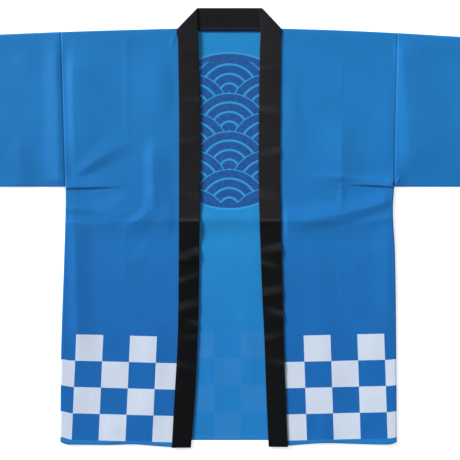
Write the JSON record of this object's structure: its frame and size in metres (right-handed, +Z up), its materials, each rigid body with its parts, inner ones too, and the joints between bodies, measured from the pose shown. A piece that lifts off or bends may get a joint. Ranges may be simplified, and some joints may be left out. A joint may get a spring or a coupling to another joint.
{
  "type": "happi coat",
  "caption": "Short open-fronted festival coat laid out flat, with straight tube sleeves and a folded collar band from hem to hem round the neck.",
  "frame": {"origin": "centre of the bounding box, on the surface that the coat lies on", "axes": "+Z up out of that surface, +Y from the hem towards the collar, +X towards the wearer's left sleeve"},
  "size_m": [1.308, 0.9006, 0.0075],
  "materials": {
    "blue_cloth": "smooth thin polyester, slightly lustrous, printed",
    "black_collar": "firm folded band, matt black"
  },
  "bodies": {
    "root": {"back_panel": "blue_cloth", "front_panel_right": "blue_cloth", "front_panel_left": "blue_cloth", "sleeve_right": "blue_cloth", "sleeve_left": "blue_cloth", "collar_band": "black_collar"}
  },
  "joints": []
}
